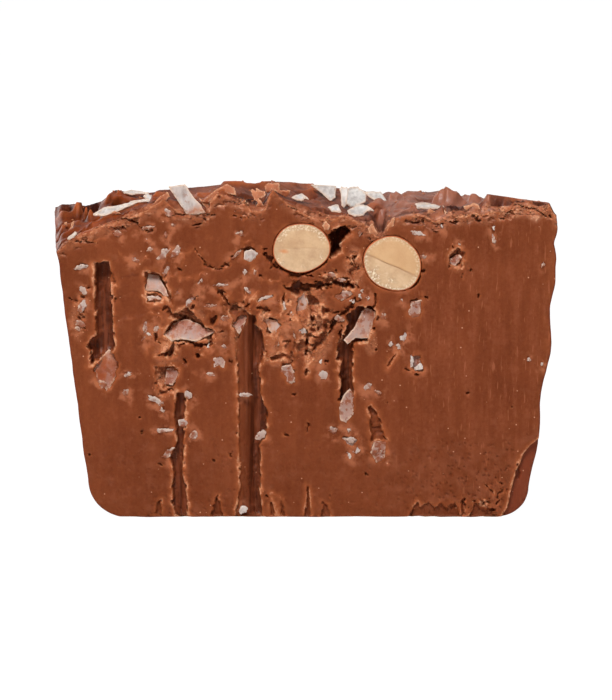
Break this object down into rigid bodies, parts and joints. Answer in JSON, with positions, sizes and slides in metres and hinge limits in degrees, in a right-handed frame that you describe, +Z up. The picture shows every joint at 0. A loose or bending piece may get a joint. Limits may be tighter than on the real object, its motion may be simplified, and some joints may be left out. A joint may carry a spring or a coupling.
{
  "type": "chocolate fudge slice",
  "caption": "Slice of chocolate fudge cut across a loaf, with cut almonds and coconut flakes in its torn front face and a swirled top scattered with coconut",
  "frame": {"origin": "centre of the flat base, at the middle of the whole slice's width and depth", "axes": "+X runs along the width of the slice, -Y is the torn, cut front face, +Y is the rear cut face, +Z points up to the swirled top"},
  "size_m": [0.0986, 0.028, 0.0655],
  "materials": {
    "fudge": "milk-brown fudge with a soft waxy sheen, dull where the knife tore it and glossier on the poured top",
    "almond": "pale cream cut almond, dry and slightly grainy, with a thin brown skin",
    "coconut": "off-white dried coconut, slightly waxy, stained pale brown where fudge clings to it"
  },
  "bodies": {
    "root": {"fudge_slab": "fudge", "almond_left": "almond", "almond_right": "almond", "flake_strip_front": "coconut", "flake_fold_left": "coconut", "flake_sliver_left": "coconut", "flake_fork_left": "coconut", "flake_far_left": "coconut", "flake_chip_front": "coconut", "flake_blade_mid": "coconut", "flake_upright_mid": "coconut", "flake_broad_mid": "coconut", "flake_cupped_mid": "coconut", "flake_wing_mid": "coconut", "flake_crumb_mid": "coconut", "flake_plank_right": "coconut", "flake_tail_right": "coconut", "flake_channel_left": "coconut", "flake_pocket_left": "coconut", "flake_cave_broad": "coconut", "flake_under_cave": "coconut", "flake_channel_long": "coconut", "flake_centre_left": "coconut", "flake_centre_upright": "coconut", "flake_above_channel": "coconut", "flake_below_channel": "coconut", "flake_right_small": "coconut", "flake_right_high": "coconut", "flake_low_right": "coconut", "flake_low_mid": "coconut", "flake_mid_low": "coconut", "flake_mid_left": "coconut", "flake_upper_mid": "coconut", "flake_right_mid": "coconut", "flake_over_centre": "coconut"}
  },
  "joints": []
}
